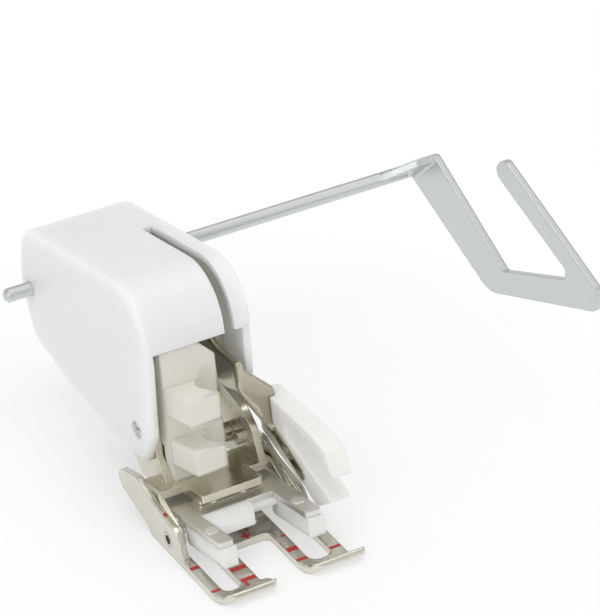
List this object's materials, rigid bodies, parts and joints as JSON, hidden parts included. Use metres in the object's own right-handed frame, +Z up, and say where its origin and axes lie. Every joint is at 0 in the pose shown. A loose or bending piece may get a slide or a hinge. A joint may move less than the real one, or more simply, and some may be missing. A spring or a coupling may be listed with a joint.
{
  "type": "sewing machine presser foot",
  "caption": "Open-toe walking presser foot: moulded housing on a hinged slotted sole, fork lever working a toothed upper feed dog, presser-bar clamp and a sliding guide bar.",
  "frame": {"origin": "the point where the needle drops, on the plane of the sole's underside, in the middle of the open toe", "axes": "+X to the operator's right along the guide rod, -Y to the front where the toes are, +Z up; the body leans back over the sole about its hinge as in the picture"},
  "size_m": [0.0788, 0.0699, 0.036],
  "materials": {
    "shell_white": "smooth moulded white, soft gloss",
    "block_cream": "moulded ivory plastic",
    "feed_white": "slightly translucent white plastic",
    "nickel_plate": "bright nickel plated sheet steel",
    "guide_zinc": "satin zinc plated",
    "pin_steel": "turned steel",
    "spring_steel": "drawn spring wire and strip"
  },
  "bodies": {
    "frame": {"frame_channel": "nickel_plate", "housing": "shell_white", "shank_block": "block_cream", "block_rivet_lower": "pin_steel", "block_rivet_upper": "pin_steel", "housing_screw_left": "pin_steel", "housing_screw_right": "pin_steel", "lever_pin": "pin_steel", "lever_spacer_left": "pin_steel", "lever_spacer_right": "pin_steel", "feed_pin": "pin_steel", "feed_spacer_left": "pin_steel", "feed_spacer_right": "pin_steel", "hinge_rivet_left": "pin_steel", "hinge_rivet_right": "pin_steel", "stop_pin": "pin_steel", "rod_leaf": "spring_steel", "leaf_rivet": "pin_steel"},
    "fork_lever": {"lever_arm": "nickel_plate", "fork_tip": "feed_white", "fork_rivet_rear": "pin_steel", "fork_rivet_front": "pin_steel"},
    "feed_arm": {"feed_arm": "nickel_plate", "roller_pin": "pin_steel", "guide_stud_left": "pin_steel", "guide_stud_right": "pin_steel", "arm_spring": "spring_steel"},
    "cam_roller": {"cam_roller": "pin_steel"},
    "feed_carrier": {"carrier_plate": "nickel_plate", "feed_dog": "feed_white", "dog_rivet_left": "pin_steel", "dog_rivet_right": "pin_steel"},
    "sole": {"sole_plate": "nickel_plate"},
    "guide": {"guide_bar": "guide_zinc"}
  },
  "joints": [
    {"name": "fork_swing", "type": "hinge", "parent": "frame", "child": "fork_lever", "pos_m": [0.0061, 0.04446, 0.02022], "axis": [-1, 0, 0], "range_deg": [0, 45]},
    {"name": "feed_tip", "type": "hinge", "parent": "frame", "child": "feed_arm", "pos_m": [0, 0.02355, 0.00749], "axis": [1, 0, 0], "range_deg": [0, 6]},
    {"name": "roller_spin", "type": "hinge", "parent": "feed_arm", "child": "cam_roller", "pos_m": [0.0061, 0.0334, 0.00908], "axis": [1, 0, 0], "continuous": true},
    {"name": "carrier_slide", "type": "slide", "parent": "feed_arm", "child": "feed_carrier", "axis": [0, 0.9781, -0.2079], "range_m": [0, 0.004], "stiffness_N_per_m": 40, "springref_m": -0.003},
    {"name": "sole_tilt", "type": "hinge", "parent": "frame", "child": "sole", "pos_m": [0, 0.01, 0.0024], "axis": [-1, 0, 0], "range_deg": [0, 16]},
    {"name": "guide_slide", "type": "slide", "parent": "frame", "child": "guide", "axis": [1, 0, 0], "range_m": [-0.045, 0.004]}
  ],
  "couplings": [
    {"joint": "feed_tip", "follows": "fork_swing", "ratio": 0.13333}
  ]
}
